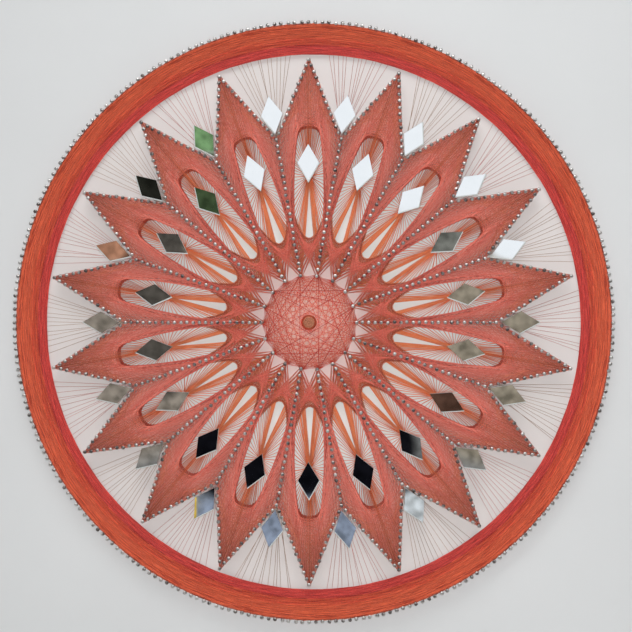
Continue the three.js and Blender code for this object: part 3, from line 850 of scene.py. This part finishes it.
# %% Lay the mirrors
INNER_MIRROR_RADIUS, MIRROR_BASE = 123.6, 16.0
MIRROR_SKEW, MIRROR_SKEW_STEP, MIRROR_TIPPING = 0.06, 2.4, 0.005


def tipped(axis):
    return Matrix.Rotation(hand.uniform(-MIRROR_TIPPING, MIRROR_TIPPING), 4, axis)


def lay_mirror(prefix, k, radius, offset):
    turn = k * PETAL_ANGLE + offset
    bm = cut_mirror(turn)
    skew = MIRROR_SKEW * math.sin(MIRROR_SKEW_STEP * k + offset) - turn
    tip = tipped("X") @ tipped("Y")
    at = Matrix.Translation(place(radius, turn, MIRROR_BASE + MIRROR_THICK / 2))
    bmesh.ops.transform(bm, matrix=at @ Matrix.Rotation(skew, 4, "Z") @ tip, verts=bm.verts)
    node = "%s_%02d" % (prefix, k + 1)
    finish_piece(bm, node + "_glass", [silvered, ground], [node])


for k in range(PETALS):
    lay_mirror("inner_mirror", k, INNER_MIRROR_RADIUS, 0.0)
    lay_mirror("outer_mirror", k, OUTER_MIRROR_RADIUS, PETAL_ANGLE / 2)

# %% [markdown]
# ## Stud
# A bevelled copper-plated stud covers the middle, where the longest threads cross. It could be a
# cylinder with a Bevel modifier, but a spun profile gives the pin, the broad bevel and the soft edges
# at once. The plating is polished, with fine turning marks that follow circles round the middle, so
# its tone and roughness run on the distance from the axis.

# %% Copper finish
copper, copper_shader = new_finish("copper_plating", 0.22, 1.0)
tree = copper.node_tree
axes = add_node(tree, "ShaderNodeSeparateXYZ", None, Vector=object_place(tree))
marks = add_node(
    tree, "ShaderNodeTexNoise", {"noise_dimensions": "1D"}, W=axis_distance(tree, axes), Scale=4000.0
).outputs[0]
feed(copper_shader, "Base Color", mixed(tree, marks, linear(228, 136, 102), linear(248, 174, 140)))
feed(copper_shader, "Roughness", math_of(tree, "MULTIPLY", marks, 0.6))
print(copper.name, "has", len(tree.nodes), "nodes")

# %% Spin the stud
STUD_SIDES = 48
STUD_PIN = [(0, 0.3), (1.5, 0.3), (1.5, 9.05), (5.6, 9.05)]
STUD_HEAD = [(5.9, 9.35), (5.9, 12.0), (5.75, 12.2), (4.4, 13.9), (4.2, 14.05), (0, 14.05)]

bm = bmesh.new()
spin_profile(bm, STUD_PIN + STUD_HEAD, STUD_SIDES)
finish_piece(bm, "copper_stud", [copper], ["centre_stud"])

# %% [markdown]
# ## Board
# The board is the CAD node itself, because its shape is right. The paint is matt white, rolled on, so
# it has a fine even stipple and a very faint cloudiness. In the picture the white under the thread is
# rosy by the disc and has a blush between petals and rim, most likely from light that the thread has
# coloured, and it is bright inside the petals. The lamps here give less of all three, so that light is
# painted into the white: rings of painted light on the distance from the middle, on the front face
# only.

# %% Board white and the painted light on it
paint, paint_shader = new_finish("board_paint", 0.55)
tree = paint.node_tree
where = object_place(tree)
cloud = noise(tree, where, 9.0, 4.0)
# only the first white is paint; the blush and rosy ones are painted bounce light, the bright one painted
# light
white = mixed(tree, cloud, linear(219, 221, 222), linear(226, 228, 229))
blush_bounce_light = mixed(tree, cloud, linear(222, 217, 215), linear(229, 224, 222))
bright_painted_light = mixed(tree, cloud, linear(237, 240, 237), linear(243, 246, 243))
rosy_bounce_light = mixed(tree, cloud, linear(230, 207, 202), linear(237, 214, 209))
print(paint.name, "has four whites")

# %% Where the painted light lies, and the stipple
TINT_STARTS, TINT_FULL = 0.226, 0.212
PETALS_END, NOTCHES_BEGIN = 0.13, 0.16
HUB_TINT_STARTS, HUB_TINT_FULL = 0.066, 0.052
FRONT_DEPTH = 0.0002

axes = add_node(tree, "ShaderNodeSeparateXYZ", None, Vector=where)
from_middle = axis_distance(tree, axes)
near_hub = ramp(tree, from_middle, HUB_TINT_STARTS, HUB_TINT_FULL)
past_petals = ramp(tree, from_middle, PETALS_END, NOTCHES_BEGIN)
painted_light_tint = mixed(tree, past_petals, mixed(tree, near_hub, bright_painted_light, rosy_bounce_light), blush_bounce_light)
# the painted light is kept inside the rim and on the front face
in_front = math_of(tree, "LESS_THAN", axes.outputs["Y"], board_front + FRONT_DEPTH)
in_ring = ramp(tree, from_middle, TINT_STARTS, TINT_FULL)
painted_light_mask = math_of(tree, "MULTIPLY", in_ring, in_front)
feed(paint_shader, "Base Color", mixed(tree, painted_light_mask, white, painted_light_tint))

stipple = noise(tree, where, 900.0, 3.0)
bump = add_node(tree, "ShaderNodeBump", None, Strength=0.18, Distance=0.0002, Height=stipple)
feed(paint_shader, "Normal", bump.outputs["Normal"])
print(paint.name, "has", len(tree.nodes), "nodes")

# %% [markdown]
# ## Dressing CAD nodes
# The board, the strap and the screws keep their CAD meshes, which are loose triangles with sharp
# edges. The meshes are left alone. A Weld modifier joins the triangles, so that a Bevel modifier can
# find the edges and soften them.

# %% A helper that dresses a CAD node, and the board
WELD_DISTANCE, SHARP_ANGLE = 0.00001, math.radians(35)
BOARD_EDGE = 0.0012


def paint_node(name, material):
    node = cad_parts[name]
    node.data.materials.clear()
    node.data.materials.append(material)
    node.modifiers.new("weld", "WELD").merge_threshold = WELD_DISTANCE
    return node


def dress_node(name, material, edge):
    bevel = paint_node(name, material).modifiers.new("soft_edges", "BEVEL")
    bevel.width = edge
    bevel.segments = 3
    bevel.limit_method = "ANGLE"
    bevel.angle_limit = SHARP_ANGLE
    print(name, "has", material.name, "and edges softened by", edge * 1000, "mm")


dress_node("backing_board", paint, BOARD_EDGE)

# %% [markdown]
# ## Hanger
# The strap, its screws and the ring in the back are zinc-plated steel with a fine spangle. Strap and
# screws get softened edges. The ring is bent wire with no edges at all, so a Subdivision Surface
# modifier rounds it instead. It swings on its own body, as the CAD says.

# %% Zinc finish and hanger
STRAP_EDGE = 0.0002

zinc, zinc_shader = new_finish("zinc_plating", 0.34, 1.0)
tree = zinc.node_tree
spangle = noise(tree, object_place(tree), 420.0, 4.0)
feed(zinc_shader, "Base Color", mixed(tree, spangle, linear(150, 152, 154), linear(204, 205, 204)))
for name in ("hanger_strap", "upper_hanger_screw", "lower_hanger_screw"):
    dress_node(name, zinc, STRAP_EDGE)
rounder = paint_node("hanging_ring", zinc).modifiers.new("round_wire", "SUBSURF")
rounder.levels = rounder.render_levels = 2
print("hanging_ring is rounded", rounder.levels, "times")

# %% [markdown]
# ## Floor
# The panel stands upright on a plain pale floor, which the close view leaves out. Its own colour is
# kept below white, and a little light of its own, which only the camera sees, lifts it towards the
# backdrop with distance. More lamp light would do that too, but it would fall on the object as well.

# %% Floor finish
GLOW_NEAR, GLOW_FAR, GLOW_LEAST, GLOW_MOST = 0.8, 2.4, 0.12, 0.58

floor_finish, floor_shader = new_finish("floor_paper", 0.8)
floor_shader.inputs["Base Color"].default_value = linear(200, 199, 196)
floor_shader.inputs["Emission Color"].default_value = linear(250, 249, 247)
tree = floor_finish.node_tree
seen = add_node(tree, "ShaderNodeLightPath").outputs["Is Camera Ray"]
away = add_node(
    tree, "ShaderNodeVectorMath", {"operation": "LENGTH"}, i0=object_place(tree)
).outputs["Value"]
glow = ramp(tree, away, GLOW_NEAR, GLOW_FAR, GLOW_LEAST, GLOW_MOST)
feed(floor_shader, "Emission Strength", math_of(tree, "MULTIPLY", seen, glow))
print(floor_finish.name, "has", len(tree.nodes), "nodes")

# %% Lay the floor
FLOOR_GAP, FLOOR_REACH = 0.0005, 4.0

bm = bmesh.new()
bmesh.ops.create_grid(bm, x_segments=1, y_segments=1, size=FLOOR_REACH)
bmesh.ops.translate(bm, verts=bm.verts, vec=(0, 0, cad_box[0].z - FLOOR_GAP))
floor_mesh = bpy.data.meshes.new("floor")
bm.to_mesh(floor_mesh)
bm.free()
floor_mesh.materials.append(floor_finish)
floor = bpy.data.objects.new("floor", floor_mesh)
scene.collection.objects.link(floor)
floor.visible_glossy = False
print("the floor lies at z", round(cad_box[0].z - FLOOR_GAP, 4))

# %% [markdown]
# ## Lamps
# Two lamps light the front. A small one next to the camera reaches into the petals' openings. Its cone
# holds the board and keeps most of its light off the floor. A broad one above and in front is the
# window: it brings the soft fall of light from top to bottom and the gleam on the thread, so it is
# the only one that shows in reflections. Three fills keep the back and the sides from going dark.

# %% Lamps
CONE, CONE_BLEND = math.radians(58), 0.15


def add_lamp(name, at, size, power, cone=0.0):
    data = bpy.data.lights.new(name, "SPOT" if cone else "AREA")
    if cone:
        data.spot_size, data.spot_blend, data.shadow_soft_size = cone, CONE_BLEND, size / 2
    else:
        data.shape, data.size = "DISK", size
    data.energy = power
    lamp = bpy.data.objects.new(name, data)
    lamp.location = at
    lamp.rotation_euler = (-Vector(at)).to_track_quat("-Z", "Y").to_euler()
    lamp.visible_glossy = False
    lamp.visible_camera = False
    scene.collection.objects.link(lamp)
    print(name, "gives", power, "W at", at)
    return lamp


add_lamp("front_light", (0.064, -0.96, 0.02), 0.1, 20.5, CONE)
add_lamp("window_light", (0.0, -0.95, 1.1), 0.9, 6.8).visible_glossy = True
add_lamp("back_fill", (-0.5, 1.8, 1.2), 1.4, 15)
add_lamp("left_fill", (-1.5, 0.8, 0.6), 0.8, 9)
add_lamp("right_fill", (1.5, 0.8, 0.6), 0.8, 9)

# %% [markdown]
# ## The room for reflections
# Mirrors show whatever faces them, so for glossy rays the world holds a plain room. It could be walls
# and boxes in front of the panel, but they would stand in the lamps' way. Here a ray's direction is
# divided by its depth, which gives a place on a flat wall in front of the panel, and soft-cornered
# patches of colour hang there: white windows above, a dark patch low in the middle, blue-grey below
# it, and warm grey to both sides. The camera sees a pale backdrop, and all other rays an even fill.

# %% Places on the wall in front
LEAST_DEPTH = 0.05

world = bpy.data.worlds.new("studio")
scene.world = world
world.use_nodes = True
tree = world.node_tree
direction = add_node(tree, "ShaderNodeTexCoord").outputs["Generated"]
axes = add_node(tree, "ShaderNodeSeparateXYZ", None, Vector=direction)
ahead = math_of(tree, "MULTIPLY", axes.outputs["Y"], -1.0)
depth = math_of(tree, "MAXIMUM", ahead, LEAST_DEPTH)
across = math_of(tree, "DIVIDE", axes.outputs["X"], depth)
upward = math_of(tree, "DIVIDE", axes.outputs["Z"], depth)
print("world", world.name, "reads the ray's direction")

# %% Patches: across, up, half width, half height, colour
WINDOW_WHITE = (246, 249, 253)
ROOM = [
    (0.13, -0.04, 0.10, 0.10, (145, 135, 120)),  # warm grey on the right
    (0.045, -0.07, 0.03, 0.025, (85, 60, 50)),  # brown, low right
    (-0.26, 0.0, 0.10, 0.14, (140, 130, 120)),  # warm grey on the left
    (-0.2, 0.0, 0.03, 0.085, (80, 75, 70)),  # dark strip on it
    (-0.245, 0.06, 0.025, 0.02, (175, 125, 100)),  # tan, left
    (0.05, 0.057, 0.03, 0.02, (115, 115, 110)),  # grey, right of the middle
    (-0.165, 0.155, 0.03, 0.03, (115, 150, 105)),  # green, high left
    (-0.16, 0.1, 0.025, 0.025, (65, 80, 55)),  # dark green below it
    (-0.21, 0.115, 0.022, 0.025, (35, 35, 30)),  # nearly black beside it
    (-0.05, -0.26, 0.14, 0.115, (135, 145, 165)),  # blue-grey, low
    (-0.177, -0.168, 0.008, 0.03, (220, 185, 60)),  # yellow strip, low left
    (0.022, -0.174, 0.018, 0.022, (205, 210, 215)),  # pale, low right
    (-0.075, -0.12, 0.10, 0.045, (15, 15, 20)),  # dark, low in the middle
]
WINDOWS = [
    (0.05, 0.28, 0.19, 0.2, WINDOW_WHITE),
    (0.12, 0.085, 0.042, 0.055, WINDOW_WHITE),
    (-0.1, 0.14, 0.045, 0.055, WINDOW_WHITE),
]
PATCH_OUTER, PATCH_INNER = 1.25, 0.75


def reach(value, middle, half):
    share = math_of(tree, "DIVIDE", math_of(tree, "SUBTRACT", value, middle), half)
    return math_of(tree, "POWER", math_of(tree, "ABSOLUTE", share), 4.0)


def hang_patches(colour, patches):
    for aside, up, wide, tall, patch in patches:
        away = math_of(tree, "ADD", reach(across, aside, wide), reach(upward, up, tall))
        inside = ramp(tree, away, PATCH_OUTER, PATCH_INNER)
        colour = mixed(tree, inside, colour, linear(*patch))
    return colour


print("the room has", len(ROOM), "patches and", len(WINDOWS), "windows")

# %% Paint the room
ROOM_LOW, ROOM_HIGH = -0.25, 0.25
GROUND_STARTS, GROUND_FULL = -0.32, -0.5

in_height = ramp(tree, axes.outputs["Z"], ROOM_LOW, ROOM_HIGH)
colour = mixed(tree, in_height, linear(28, 28, 28), linear(246, 246, 246))
on_ground = ramp(tree, axes.outputs["Z"], GROUND_STARTS, GROUND_FULL)
colour = mixed(tree, on_ground, colour, linear(214, 213, 211))
colour = hang_patches(colour, ROOM)
slopes = add_node(tree, "ShaderNodeCombineXYZ", None, X=across, Y=upward).outputs[0]
spots = ramp(tree, noise(tree, slopes, 110.0, 5.0), 0.36, 0.64)
mottle = mixed(tree, spots, (0.55, 0.55, 0.53, 1), (1.3, 1.3, 1.28, 1))
colour = mixed(tree, 1.0, colour, mottle, "MULTIPLY")
colour = hang_patches(colour, WINDOWS)
behind = ramp(tree, axes.outputs["Y"], 0.0, 0.2)
colour = mixed(tree, behind, colour, linear(160, 160, 160))
print("the room is painted with", len(tree.nodes), "nodes")

# %% Share the world out between kinds of rays
FILL_STRENGTH = 0.1


def background(colour, strength=1.0):
    return add_node(tree, "ShaderNodeBackground", None, Color=colour, Strength=strength).outputs[0]


def choose(ray, others, chosen):
    factor = rays.outputs[ray]
    return add_node(tree, "ShaderNodeMixShader", None, i0=factor, i1=others, i2=chosen).outputs[0]


rays = add_node(tree, "ShaderNodeLightPath")
lit = choose("Is Glossy Ray", background((0.98, 0.99, 1.0, 1), FILL_STRENGTH), background(colour))
shown = choose("Is Camera Ray", lit, background(linear(232, 231, 229)))
tree.links.new(shown, tree.nodes["World Output"].inputs["Surface"])
print("fill light has strength", FILL_STRENGTH)
